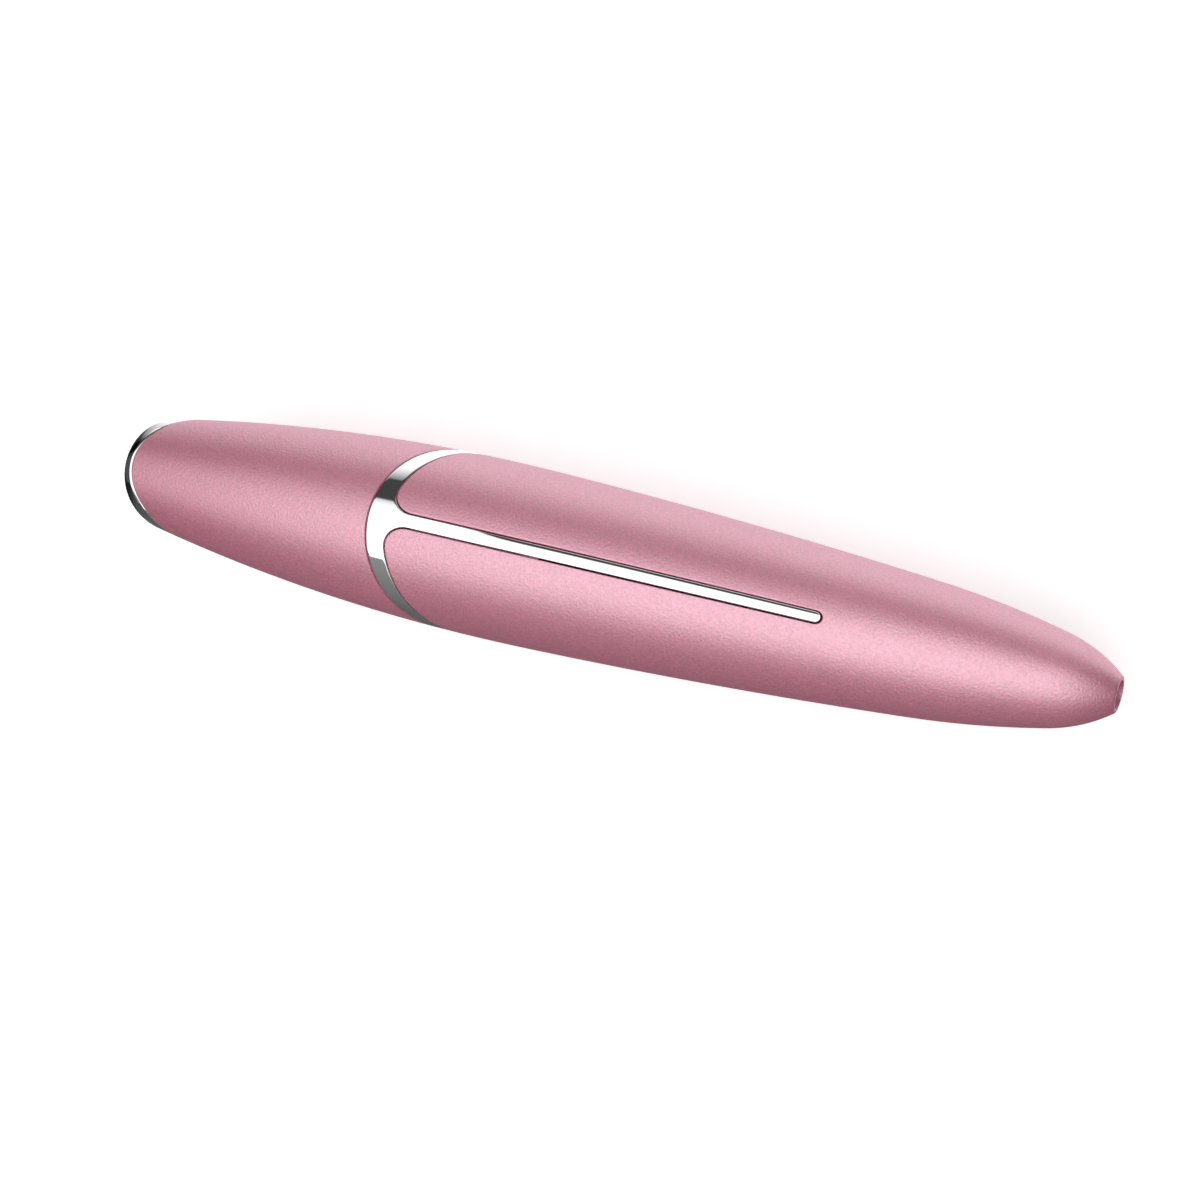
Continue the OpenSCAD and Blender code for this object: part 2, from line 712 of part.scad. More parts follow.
module circuit_board() color("#1f6b4a") difference() {
    box((board_x0 + board_x1)/2, [board_l, board_w, board_t], board_z);
    board_screw_places(board_z - 1) cylinder(h = board_t + 2, r = screw_r + 2*fit, $fn = 48);
}
module board_screws() color("#9a9ca2")
    board_screw_places(board_z) rotate([180, 0, 0]) screw(board_t + deck_t + board_screw_bite);
module tact_switch() color("#2a2c30") difference() {
    box(button_x, [switch_w, switch_w, switch_h], switch_z);
    translate([button_x, 0, switch_z - 1])
        cylinder(h = 1 + switch_h - plunger_entry, r = plunger_r + 2*fit);
}
module control_chip() color("#17181a")
    box(button_x + control_chip_set, control_chip_size, board_z - control_chip_size.z);
module charge_chip() color("#17181a")
    box(button_x + charge_chip_set, charge_chip_size, board_z - charge_chip_size.z);

// ---- power button

module power_button() color("#d79ab0") {
    intersection() {
        revolve_skin(shell_skin(crest.x - 1, button_x + button_d, 0));
        under_button(flange_z + tiny, button_r);
    }
    translate([button_x, 0, flange_z]) cylinder(h = flange_t, r = flange_r);
}
module switch_plunger() color("#e9e9ea") {
    foot_z = flange_z + flange_t + tiny;
    translate([button_x, 0, foot_z]) cylinder(h = switch_z + plunger_entry - foot_z, r = plunger_r);
}
module button_gasket() color("#3a3a3e") translate([button_x, 0, seat_z]) difference() {
    cylinder(h = button_seal_t, r = flange_r);
    translate([0, 0, -1]) cylinder(h = button_seal_t + 2, r = button_r + button_gap);
}

// ---- charging socket

module charging_socket() color("#232428") difference() {
    x_cylinder(socket_x0, socket_x1, socket_r);
    x_cylinder(socket_floor, tail_x, socket_bore_r);
    // recess of the tip contact in the floor, and the hole of its pin
    x_cylinder(contact_x - contact_t - fit, socket_floor + 1, contact_r + fit);
    x_cylinder(socket_x0 - 1, tail_x, pin_r + fit);
    // slot of the sleeve contact
    translate([socket_x0 - 1, -leaf_w/2 - fit, 0]) cube([leaf_l + fit, leaf_w + 2*fit, socket_d]);
}
module tip_contact() color("#c9a24a") {
    x_cylinder(contact_x - contact_t, contact_x, contact_r);
    x_cylinder(socket_x0 - contact_tail, contact_x - contact_t + tiny, pin_r);
}
module sleeve_contact() color("#c9a24a")
    translate([socket_x0 - contact_tail, -leaf_w/2, leaf_z])
        cube([leaf_l + contact_tail - 1, leaf_w, leaf_t]);

// ---- leads

// Point at a depth behind the plate's seam and a height up along it
function off_seam(d, y, up) =
    [seam_x + d*cos(slant) - up*sin(slant), y, d*sin(slant) + up*cos(slant)];

module heater_leads() color("#c23b34") for (side = [-1, 1]) {
    y = side*lead_ring[0].x;
    lead([
        off_seam(carrier_d, y, carrier_lead_z),
        off_seam(carrier_back + 1, y, carrier_lead_z),
        [motor_x0 - 2.2, y, lead_ring[0].y],
        [pad_x, y, lead_ring[0].y],
        [pad_x, y, solder_z]
    ]);
}
module motor_leads() color("#2e3238") for (side = [-1, 1]) {
    y = side*lead_ring[1].x;
    lead([
        [motor_x0 - fit, side*1.5, 1],
        [motor_x0 - 1, side*1.5, 1],
        [motor_x0 - 1.4, y, lead_ring[1].y],
        [pad_x + 1, y, lead_ring[1].y],
        [pad_x + 1, y, solder_z]
    ]);
}
module battery_leads() color("#c23b34") {
    front_x = cell_x0 - 2*fit - tab_t - lead_r;
    rear_x = cell_x1 + 2*fit + tab_t + lead_r;
    pad_y = board_w/2 - 0.6;
    lead([
        [front_x, -1, front_tab_z - 0.5],
        [front_x, -lead_ring[2].x, lead_ring[2].y],
        [pad_x, -lead_ring[2].x, lead_ring[2].y],
        [pad_x, -pad_y, solder_z]
    ]);
    lead([
        [rear_x, 1, 0.4],
        [rear_x, pad_y, 0.4],
        [pad_x, pad_y, solder_z]
    ]);
}
module socket_leads() color("#2e3238") {
    solder_x = board_x1 - 0.9;
    start_x = socket_x0 - contact_tail - fit - lead_r/2;
    for (lead_end = [[0, 1], [leaf_z + leaf_t/2, -1]]) {
        z = lead_end[0];
        side = lead_end[1];
        lead([[start_x, 0, z], [start_x - 1.2, 0.6*side, z], [solder_x, 2.4*side, solder_z]]);
    }
}

rear_shell();
head_shell();
trim_band();
neck_seal();
massage_plate();
plate_gasket();
heating_film();
film_foam();
thermistor();
plate_carrier();
carrier_screws();
motor_can();
motor_end_cap();
motor_magnet();
motor_bush();
motor_sleeve();
motor_shaft();
motor_armature();
eccentric_weight();
inner_frame();
battery_cell();
battery_tabs();
battery_foam();
circuit_board();
board_screws();
tact_switch();
control_chip();
charge_chip();
power_button();
switch_plunger();
button_gasket();
charging_socket();
tip_contact();
sleeve_contact();
heater_leads();
motor_leads();
battery_leads();
socket_leads();
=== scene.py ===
# %% [markdown]
# # A massage wand with a heated metal tip
# The wand is a slim spindle of pink metallic paint. A bright metal ring joins its two halves on a
# slant, and a narrow tongue of the same metal runs from the ring along the handle. The head ends in
# a polished cap that warms the skin.
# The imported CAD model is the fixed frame: every visible piece is modelled over its CAD node.

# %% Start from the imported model
import json
import math

import bmesh
import bpy
from mathutils import Matrix, Vector


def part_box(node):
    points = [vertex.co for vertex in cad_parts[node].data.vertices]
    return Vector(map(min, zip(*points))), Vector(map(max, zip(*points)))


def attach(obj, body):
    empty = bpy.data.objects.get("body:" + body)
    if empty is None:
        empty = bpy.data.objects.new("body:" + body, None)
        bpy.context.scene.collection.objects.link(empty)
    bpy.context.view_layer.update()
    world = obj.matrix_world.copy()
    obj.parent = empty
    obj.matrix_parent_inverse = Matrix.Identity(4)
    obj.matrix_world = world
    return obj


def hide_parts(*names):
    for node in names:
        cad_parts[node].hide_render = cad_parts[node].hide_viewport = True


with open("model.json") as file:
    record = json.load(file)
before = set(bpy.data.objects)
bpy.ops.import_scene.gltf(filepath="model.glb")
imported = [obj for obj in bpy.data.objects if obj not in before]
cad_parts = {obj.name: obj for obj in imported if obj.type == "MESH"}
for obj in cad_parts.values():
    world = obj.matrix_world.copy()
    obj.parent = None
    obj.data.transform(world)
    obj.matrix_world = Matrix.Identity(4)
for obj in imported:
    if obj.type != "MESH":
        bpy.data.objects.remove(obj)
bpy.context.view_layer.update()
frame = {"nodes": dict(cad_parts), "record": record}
MM = 0.001

# %% [markdown]
# ## Camera
# The photograph looks almost straight down on the lying wand with a long lens. The head points a
# little towards the camera, and the whole wand drops to the right in the picture. The three angles
# and the shift were fitted to the outline of the wand in the photograph.

# %% Place the camera
TURN = math.radians(18.8)
ROLL_UP = math.radians(4.3)
DROP = math.radians(13.27)
RANGE = 420
AIM_ALONG, AIM_RIGHT, AIM_DOWN = -1.45, 0.30, 3.39
axis = Vector((1, 0, 0))
to_camera = Vector((math.sin(TURN), -math.cos(TURN) * math.sin(ROLL_UP),
                    math.cos(TURN) * math.cos(ROLL_UP)))
along = (axis - axis.dot(to_camera) * to_camera).normalized()
across = to_camera.cross(along)
right = math.cos(DROP) * along + math.sin(DROP) * across
up = -math.sin(DROP) * along + math.cos(DROP) * across
target = Vector((AIM_ALONG, 0, 0)) + AIM_RIGHT * right - AIM_DOWN * up

lens = bpy.data.cameras.new("camera")
lens.lens = 100
lens.sensor_width = 36
lens.clip_start = 0.01
camera = bpy.data.objects.new("camera", lens)
pose = Matrix((right, up, to_camera)).transposed().to_4x4()
pose.translation = (target + RANGE * to_camera) * MM
camera.matrix_world = pose
scene = bpy.context.scene
scene.collection.objects.link(camera)
scene.camera = camera
scene.view_settings.view_transform = "Standard"
print("camera at", [round(value) for value in pose.translation / MM], "mm")

# %% [markdown]
# ## The spindle's skin
# The outline is a chain of five arcs that meet without a kink, from the brow of the head over the
# crest to the small flat of the tail. A turned part is best described by its radius at each place
# along the axis, so one function gives that radius, and every piece asks it.

# %% Measure the skin
SLANT = math.radians(34.6)
SLOPE = math.tan(SLANT)
WALL = 1.5
GROOVE = 0.18
CREST = Vector((-16.6, 11.45))
TAIL = Vector((66.2, 2.25))
STATIONS = [Vector((-8.0, 11.33)), Vector((41.9, 8.52)), Vector((58.6, 5.925)), TAIL]
BROW = Vector((-61.6, 7.5))


def arc(start, lean, end):
    """Centre, radius and last lean of the arc that leaves start at a lean and meets end."""
    inward = Vector((-math.sin(lean), -math.cos(lean)))
    chord = end - start
    radius = chord.dot(chord) / (2 * chord.dot(inward))
    centre = start + radius * inward
    return centre, radius, math.atan2(end.x - centre.x, end.y - centre.y)


arcs = [(CREST.x, arc(CREST, 0, BROW))]
start, lean = CREST, 0
for station in STATIONS:
    piece = arc(start, lean, station)
    arcs.append((station.x, piece))
    start, lean = station, piece[2]


def on_arc(curve, x):
    centre, radius, _ = curve
    return centre.y + math.sqrt(radius**2 - (x - centre.x)**2)


def skin(x):
    """Radius of the skin at x, in mm."""
    for end, curve in arcs:
        if x <= end:
            return on_arc(curve, x)
    return TAIL.y


print("radius at the crest, the middle and the tail:",
      [round(skin(x), 2) for x in (CREST.x, 20, TAIL.x)])

# %% [markdown]
# ## Drawing on the unrolled skin
# The shells and the metal trim are thin walls with outlines drawn on a round body. A sheet-metal
# worker would cut them flat and roll them up, and so does this script: each piece is a flat slab
# with u along the axis and v round it, its rim is bevelled, and the slab is cut into a fine grid.
# Then every point is wrapped round the axis. A straight edge in the slab becomes the slanted plane
# in which the real parting line lies, because the wrap shears the slab by the slant.

# %% Wrap a flat slab round the wand
UNROLL = CREST.y
HALF_TURN = math.pi * UNROLL
FADE_START, FADE_LENGTH = -26, 45
ALONG, ROUND = 0, 1
LEVEL, TOUCH = 1e-6, 1e-4


def slant_share(u):
    """1 where edges follow the slanted planes, fading to 0 towards the tail."""
    t = min(max((u - FADE_START) / FADE_LENGTH, 0), 1)
    return 1 - t * t * (3 - 2 * t)


def flat_place(x0):
    """u of the slanted plane that crosses the axis at x0."""
    u = x0
    for _ in range(30):
        u = x0 - SLOPE * skin(u)
    return u


def wrapped(point, radius_at):
    """The place on the wand of a point (u, v, height) of a slab."""
    u, v, height = point
    angle = v / UNROLL
    shear = SLOPE * slant_share(u)
    x = u
    for _ in range(12):
        r = radius_at(u, x, angle, height)
        x = u + shear * (skin(u) - r * math.cos(angle))
    return Vector((x, r * math.sin(angle), r * math.cos(angle)))


def cut_up(bm, axis_index, places):
    """Cuts the whole mesh square to one axis at each of the places."""
    normal = [0, 0, 0]
    normal[axis_index] = 1
    for place in places:
        point = [0, 0, 0]
        point[axis_index] = place
        bmesh.ops.bisect_plane(bm, geom=bm.verts[:] + bm.edges[:] + bm.faces[:], dist=TOUCH,
                               plane_co=point, plane_no=normal)


def evenly(low, high, step):
    """Places between two ends, without the ends, at most a step apart."""
    count = math.ceil((high - low) / step)
    return [low + (high - low) * i / count for i in range(1, count)]


def flat_slab(bm, corners, rounds, wall, margin, edge):
    """A slab under the outline, with rounded corners, a support rim and a bevelled upper edge."""
    verts = [bm.verts.new((u, v, 0)) for u, v in corners]
    face = bm.faces.new(verts)
    for index, radius in rounds.items():
        bmesh.ops.bevel(bm, geom=[verts[index]], offset=radius, segments=10, profile=0.5,
                        affect="VERTICES", material=-1)
    seams = (min(v for u, v in corners), max(v for u, v in corners))
    top = [f for f in bm.faces if abs(f.calc_center_median().z) < LEVEL]
    bmesh.ops.inset_region(bm, faces=top, thickness=margin, use_boundary=True, use_even_offset=True)
    top = [f for f in bm.faces if abs(f.calc_center_median().z) < LEVEL]
    grown = bmesh.ops.extrude_face_region(bm, geom=top, use_keep_orig=True)
    lower = [item for item in grown["geom"] if isinstance(item, bmesh.types.BMVert)]
    bmesh.ops.translate(bm, verts=lower, vec=(0, 0, -wall))
    bmesh.ops.recalc_face_normals(bm, faces=bm.faces[:])
    rim = []
    for e in bm.edges:
        level = all(abs(vert.co.z) < LEVEL for vert in e.verts)
        upright = any(abs(f.normal.z) < 0.5 for f in e.link_faces)
        on_seam = any(all(abs(vert.co.y - seam) < TOUCH for vert in e.verts) for seam in seams)
        if level and upright and not on_seam:
            rim.append(e)
    bmesh.ops.bevel(bm, geom=rim, offset=edge, segments=4, profile=0.5, affect="EDGES", material=-1)
    return [f for f in bm.faces
            if any(all(abs(vert.co.y - seam) < TOUCH for vert in f.verts) for seam in seams)]


WELD, SHARP = 0.002, math.radians(38)


def finished(bm, name, node, body="body"):
    """Turns a bmesh in mm into the piece that stands for a CAD node."""
    bmesh.ops.remove_doubles(bm, verts=bm.verts[:], dist=WELD)
    bmesh.ops.recalc_face_normals(bm, faces=bm.faces[:])
    bmesh.ops.scale(bm, vec=(MM, MM, MM), verts=bm.verts[:])
    for f in bm.faces:
        f.smooth = True
    for e in bm.edges:
        e.smooth = len(e.link_faces) == 2 and e.calc_face_angle(0) < SHARP
    mesh = bpy.data.meshes.new(name)
    bm.to_mesh(mesh)
    bm.free()
    piece = bpy.data.objects.new(name, mesh)
    scene.collection.objects.link(piece)
    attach(piece, body)
    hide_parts(node)
    print(name, "has", len(mesh.polygons), "faces and measures",
          [round(side / MM, 2) for side in piece.dimensions], "mm")
    return piece


# %% [markdown]
# ## Rear shell
# The handle is one thin shell that closes to a blunt tail with the round charging opening. Its
# front edge follows the metal ring, with a narrow notch for the tongue. A hole for the button is on
# the side away from the tongue. The notch is a few corner points, rounded where the real one is.

# %% Outline of the tongue and the notch
BAND_REAR, BAND_WIDTH, SEAM = -18.7, 2.35, -60.5
BAND_FRONT = BAND_REAR - BAND_WIDTH / math.cos(SLANT)
AXIAL_GROOVE = GROOVE / math.cos(SLANT)
TONGUE_TIP, TONGUE_RISE, TONGUE_DEPTH, FILLET = 30.7, 0.3, 0.8, 3.2
ROOT_WIDTH, TIP_WIDTH, NEARLY_ROUND = 1.65, 1.3, 0.97


def tongue_corners(rear_edge, grown):
    """Corner points of the tongue from its root on the band's edge, grown by the groove."""
    root = (ROOT_WIDTH / 2 + grown) * UNROLL / skin(rear_edge)
    tip = (TIP_WIDTH / 2 + grown) * UNROLL / skin(TONGUE_TIP)
    far = TONGUE_TIP + grown
    return [(rear_edge, -root), (far, -tip), (far, tip), (rear_edge, root)], tip * NEARLY_ROUND


# %% Cut the rear shell
BORE = 1.8
AROUND = UNROLL * math.radians(2.5)
SUPPORT, EDGE_ROUND = 0.3, 0.1
TAIL_ROUND, TAIL_END = 58, 64
rear_edge = flat_place(BAND_REAR)
low_v, high_v = -HALF_TURN / 2, HALF_TURN * 3 / 2
notch, notch_tip = tongue_corners(rear_edge, GROOVE)
corners = [(rear_edge, low_v), (TAIL.x, low_v), (TAIL.x, high_v), (rear_edge, high_v)] + notch[::-1]
rounds = {4: FILLET - GROOVE, 5: notch_tip, 6: notch_tip, 7: FILLET - GROOVE}
bm = bmesh.new()
ends = flat_slab(bm, corners, rounds, WALL, SUPPORT, EDGE_ROUND)
bmesh.ops.delete(bm, geom=ends, context="FACES_ONLY")
cut_up(bm, ROUND, evenly(low_v, high_v, AROUND))
cut_up(bm, ALONG, evenly(rear_edge, TAIL_ROUND, 1.5) + [TAIL_ROUND]
       + evenly(TAIL_ROUND, TAIL_END, 0.5) + [TAIL_END] + evenly(TAIL_END, TAIL.x, 0.22))
print("rear shell cut flat into", len(bm.faces), "faces")

# %% [markdown]
# ### Hole for the button
# On the real shell this would be a plain round hole with a small round on its front edge. Here a
# block of square cells is taken out of the flat slab and its edge is bridged to a circle. This cell
# has a fault that is still open, so it is no pattern to copy: faces of the finished shell lie right
# across the opening, and the long bridged faces sink up to 0.9 mm below the skin, which creases the
# paint round the button. Look at a hole from its own side as soon as it is made.

# %% Punch the hole of the button
button_low, button_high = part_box("power_button")
BUTTON_X = (button_low.x + button_high.x) / 2 / MM
BUTTON_R, BUTTON_GAP = 3.5, 0.15
BLOCK_HALF, LOOP_REACH, APRON, HOLE_ROUND, HOLE_SIDES = 6, 2, 0.35, 0.12, 64


def loop_near(bm, centre, reach, level):
    """Open edges at one level round a place."""
    return [e for e in bm.edges if e.is_boundary and all(
        abs(v.co.x - centre[0]) < reach and abs(v.co.y - centre[1]) < reach
        and abs(v.co.z - level) < 1e-5 for v in e.verts)]


def punch(bm, centre, radius, stretch, half):
    """A round hole through the flat slab."""
    block = [f for f in bm.faces if abs(f.calc_center_median().x - centre[0]) < half
             and abs(f.calc_center_median().y - centre[1]) < half]
    bmesh.ops.delete(bm, geom=block, context="FACES")
    squares = {level: loop_near(bm, centre, half + LOOP_REACH, level) for level in (0, -WALL)}
    circles = {}
    oval = Matrix.Diagonal((1, stretch, 1, 1))
    for name, r, level in (("apron", radius + APRON, 0), ("rim", radius, 0),
                           ("back", radius, -WALL)):
        place = Matrix.Translation((centre[0], centre[1], level)) @ oval
        made = bmesh.ops.create_circle(bm, segments=HOLE_SIDES, radius=r, matrix=place)
        circles[name] = list({e for v in made["verts"] for e in v.link_edges})
    for first, second in ((squares[0], circles["apron"]), (circles["apron"], circles["rim"]),
                          (circles["rim"], circles["back"]), (circles["back"], squares[-WALL])):
        bmesh.ops.bridge_loops(bm, edges=first + second)
    bmesh.ops.bevel(bm, geom=circles["rim"], offset=HOLE_ROUND, segments=3, profile=0.5,
                    affect="EDGES", material=-1)


punch(bm, (BUTTON_X, HALF_TURN), BUTTON_R + BUTTON_GAP, UNROLL / skin(BUTTON_X),
      BLOCK_HALF)

# %% Roll the rear shell up and add its neck


def rear_radius(u, x, angle, height):
    return skin(x) + height if height > -WALL / 2 else max(skin(x) - WALL, BORE)


def roll_up(bm, radius_at):
    for vert in bm.verts:
        vert.co = wrapped(vert.co, radius_at)


def spun(bm, points, steps=96):
    """A ring with a closed section of (x, radius) points, turned round the axis."""
    verts = [bm.verts.new((x, 0, r)) for x, r in points]
    edges = [bm.edges.new((a, b)) for a, b in zip(verts, verts[1:] + verts[:1])]
    bmesh.ops.spin(bm, geom=verts + edges, cent=(0, 0, 0), axis=(1, 0, 0), angle=2 * math.pi,
                   steps=steps, use_merge=True)


NECK_FRONT, NECK_R, NECK_BORE_R, FIT = -36.65, 9.2, 7.9, 0.05
roll_up(bm, rear_radius)
spun(bm, [(NECK_FRONT, NECK_BORE_R), (NECK_FRONT, 9.0), (NECK_FRONT + 0.2, NECK_R), (-10, NECK_R),
          (-8.5, 9.9), (-6, 9.9), (-8, NECK_BORE_R)])
rear_shell = finished(bm, "handle_shell", "rear_shell")

# %% [markdown]
# ## Head shell
# The head half is a plain sleeve between two slanted planes, so its slab is a rectangle. In the
# photograph the front edge lies a little behind its plane, most of all at the sides, so that edge
# is moved back before the slab is rolled. Behind its step the sleeve fits over the neck of the rear
# shell.

# %% Head shell
SEAM_FADE, SEAM_BACK, SEAM_SIDE = 8, 0.45, 1.15


def seam_shift(angle):
    """How far the paint's front edge lies behind the slanted plane, in mm."""
    return SEAM_BACK + SEAM_SIDE * math.sin(angle)**2


def head_radius(u, x, angle, height):
    if height > -WALL / 2:
        return skin(x) + height
    return NECK_R + FIT if x > NECK_FRONT else skin(x) - WALL


front_edge, band_edge = flat_place(SEAM), flat_place(BAND_FRONT)
bm = bmesh.new()
ends = flat_slab(bm, [(front_edge, -HALF_TURN), (band_edge, -HALF_TURN), (band_edge, HALF_TURN),
                      (front_edge, HALF_TURN)], {}, WALL, SUPPORT, EDGE_ROUND)
bmesh.ops.delete(bm, geom=ends, context="FACES_ONLY")
cut_up(bm, ROUND, evenly(-HALF_TURN, HALF_TURN, AROUND))
cut_up(bm, ALONG, evenly(front_edge, band_edge, 1.2))
for vert in bm.verts:
    near = max(0, 1 - (vert.co.x - front_edge) / SEAM_FADE)
    vert.co.x += near * seam_shift(vert.co.y / UNROLL)
roll_up(bm, head_radius)
head_shell = finished(bm, "head_sleeve", "head_shell")

# %% [markdown]
# ## Metal trim
# Ring and tongue are one bright part. The tongue leaves the ring through two round fillets and lies
# in the shell's notch, and towards its round tip it rises a little out of the paint. Its sides fall
# away slightly from its middle, and the open groove on each side draws a thin dark line along the
# white strip.

# %% Metal ring and tongue
proud = arc(CREST, 0, Vector((TONGUE_TIP, skin(TONGUE_TIP) + TONGUE_RISE)))
RING_X = -22
TRIM_WALL = skin(RING_X) - NECK_R - FIT
CROWN, CROWN_START, CROWN_RUN, CROWN_FLAT, CROWN_SIDE = 0.11, -16, 6, 0.48, 0.3
TONGUE_ANGLE, STEP = 0.6, 0.2
TRIM_SUPPORT, TRIM_ROUND = 0.28, 0.08


def crown(u, angle):
    """How far the tongue's sides fall away from its middle."""
    share = min(max((u - CROWN_START) / CROWN_RUN, 0), 1)
    return CROWN * share * max(abs(angle) * UNROLL - CROWN_FLAT, 0) / CROWN_SIDE


def trim_radius(u, x, angle, height):
    if height > -TRIM_WALL / 2:
        if abs(angle) > TONGUE_ANGLE or x < CREST.x:
            return skin(x) + height
        return on_arc(proud, x) + height - crown(u, angle)
    return NECK_R + FIT if u < trim_rear + STEP else skin(x) - TONGUE_DEPTH


trim_front = flat_place(BAND_FRONT + AXIAL_GROOVE)
trim_rear = flat_place(BAND_REAR - AXIAL_GROOVE)
tongue, tongue_tip = tongue_corners(trim_rear, 0)
corners = ([(trim_front, -HALF_TURN), (trim_rear, -HALF_TURN)] + tongue
           + [(trim_rear, HALF_TURN), (trim_front, HALF_TURN)])
rounds = {2: FILLET, 3: tongue_tip, 4: tongue_tip, 5: FILLET}
bm = bmesh.new()
ends = flat_slab(bm, corners, rounds, TRIM_WALL, TRIM_SUPPORT, TRIM_ROUND)
bmesh.ops.delete(bm, geom=ends, context="FACES_ONLY")
cut_up(bm, ROUND, evenly(-HALF_TURN, HALF_TURN, AROUND))
cut_up(bm, ALONG, evenly(trim_rear, TONGUE_TIP, 1.5))
roll_up(bm, trim_radius)
trim = finished(bm, "bright_trim", "trim_band")

# %% [markdown]
# ## Heated cap
# The cap is a shallow dome whose flush band carries on the skin of the head. Band and dome meet in
# a soft edge all the way round an oval that leans with the seam. Each ray from the centre of the
# oval is one curve: over the dome, round the edge, down the band, and back inside as the skirt. A
# grid is laid along these curves, ray by ray.

# %% Measures of the cap
CAP_RISE, DOME_R, DOME_SHIFT, GASKET, SKIRT_L, SKIRT_T = 3.0, 22.0, -0.6, 0.2, 2.6, 0.8
outward = Vector((math.cos(SLANT), 0, math.sin(SLANT)))
upward = Vector((-math.sin(SLANT), 0, math.cos(SLANT)))


def halved(test, low, high):
    """The place between low and high where test changes from negative to positive."""
    for _ in range(40):
        middle = (low + high) / 2
        low, high = (middle, high) if test(middle) < 0 else (low, middle)
    return (low + high) / 2


def seam_place(depth, reach, ray):
    """A point behind the seam plane by depth, at a reach from its centre along a ray."""
    return (Vector((SEAM, 0, 0)) + depth * outward + reach * math.cos(ray) * upward
            + Vector((0, reach * math.sin(ray), 0)))


def skin_reach(depth, ray, inset):
    """Reach along the ray at which the skin, moved in by inset, is met."""
    def over(reach):
        place = seam_place(depth, reach, ray)
        return math.hypot(place.y, place.z) - skin(place.x) + inset
    return halved(over, 2, 16)


def dome_depth(reach, ray):
    side, height = reach * math.sin(ray), reach * math.cos(ray) - DOME_SHIFT
    return DOME_R - CAP_RISE - math.sqrt(DOME_R**2 - side**2 - height**2)


def seam_depth(ray):
    """Depth at which the cap's band ends, a parting groove ahead of the paint."""
    def past(depth):
        place = seam_place(depth, skin_reach(depth, ray, 0), ray)
        edge = front_edge + seam_shift(math.atan2(place.y, place.z))
        return flat_place(SEAM + depth / math.cos(SLANT)) - edge + GASKET
    return halved(past, -1, 4)


def rim_depth(ray):
    return halved(lambda depth: depth - dome_depth(skin_reach(depth, ray, 0), ray), -3, 0)


print("cap rim at top, side and bottom, mm ahead of the seam:",
      [round(-rim_depth(ray), 2) for ray in (0, math.pi / 2, math.pi)])

# %% Curve of the cap along one ray
DOME_STEPS, EDGE_STEPS, BAND_STEPS = 26, 7, 3
SOFT_MOST, SOFT_SHARE, BAND_ROUND = 0.55, 0.6, 0.07


def cap_curve(ray):
    """Points (depth, reach) from the middle of the dome round to the middle of the inside."""
    rim = rim_depth(ray)
    rim_reach = skin_reach(rim, ray, 0)
    seam = seam_depth(ray)
    soft = min(SOFT_MOST, SOFT_SHARE * (seam - rim))
    points = []
    for i in range(DOME_STEPS + 1):
        reach = (rim_reach - soft) * i / DOME_STEPS
        points.append((dome_depth(reach, ray), reach))
    first, corner = Vector(points[-1]), Vector((rim, rim_reach))
    last = Vector((rim + soft, skin_reach(rim + soft, ray, 0)))
    for i in range(1, EDGE_STEPS + 1):
        t = i / EDGE_STEPS
        points.append(tuple((1 - t)**2 * first + 2 * t * (1 - t) * corner + t * t * last))
    end = seam - BAND_ROUND
    for i in range(1, BAND_STEPS + 1):
        depth = last.x + (end - last.x) * i / BAND_STEPS
        points.append((depth, skin_reach(depth, ray, 0)))
    points.append((seam, skin_reach(seam, ray, BAND_ROUND)))
    skirt, inside = WALL + FIT, WALL + FIT + SKIRT_T
    points += [(seam, skin_reach(seam, ray, skirt)), (SKIRT_L, skin_reach(SKIRT_L, ray, skirt)),
               (SKIRT_L, skin_reach(SKIRT_L, ray, inside)), (0, skin_reach(0, ray, inside)), (0, 0)]
    return points


# %% Lay the cap's grid
RAYS = 144
curves = [cap_curve(2 * math.pi * i / RAYS) for i in range(RAYS)]
rows = len(curves[0]) - 1
bm = bmesh.new()
bmesh.ops.create_grid(bm, x_segments=rows, y_segments=RAYS, size=0.5)
for vert in bm.verts:
    row, ray = round((vert.co.x + 0.5) * rows), round((vert.co.y + 0.5) * RAYS) % RAYS
    depth, reach = curves[ray][row]
    vert.co = seam_place(depth, reach, 2 * math.pi * ray / RAYS)
cap = finished(bm, "heated_cap", "massage_plate")

# %% [markdown]
# ## Button
# The button is guessed, because the photograph shows only the other side. It is a painted disc that
# lies flush in the skin and has a flange inside. Rings of faces are inset from its outline, and
# each point of the front is then moved onto the skin.

# %% Button
FLANGE_T = 0.6
BUTTON_SIDES, BUTTON_ROUND, FRONT_RINGS, RING_STEP, FLANGE_ROUND = 72, 0.25, 8, 0.38, 0.1
flange_top = button_high.z / MM
flange_r = (button_high.x - button_low.x) / 2 / MM
bm = bmesh.new()
bmesh.ops.create_circle(bm, cap_ends=True, segments=BUTTON_SIDES, radius=BUTTON_R)
lower = bmesh.ops.extrude_face_region(bm, geom=bm.faces[:], use_keep_orig=True)
bmesh.ops.translate(bm, verts=[v for v in lower["geom"] if isinstance(v, bmesh.types.BMVert)],
                    vec=(0, 0, -1))
bmesh.ops.recalc_face_normals(bm, faces=bm.faces[:])
rim = [e for e in bm.edges if all(abs(v.co.z) < 1e-6 for v in e.verts)]
bmesh.ops.bevel(bm, geom=rim, offset=BUTTON_ROUND, segments=4, profile=0.5, affect="EDGES",
                material=-1)
for step in range(FRONT_RINGS):
    front = [f for f in bm.faces if f.normal.z > 0.99 and len(f.verts) > 4]
    bmesh.ops.inset_region(bm, faces=front, thickness=RING_STEP, use_boundary=True)
    bm.normal_update()
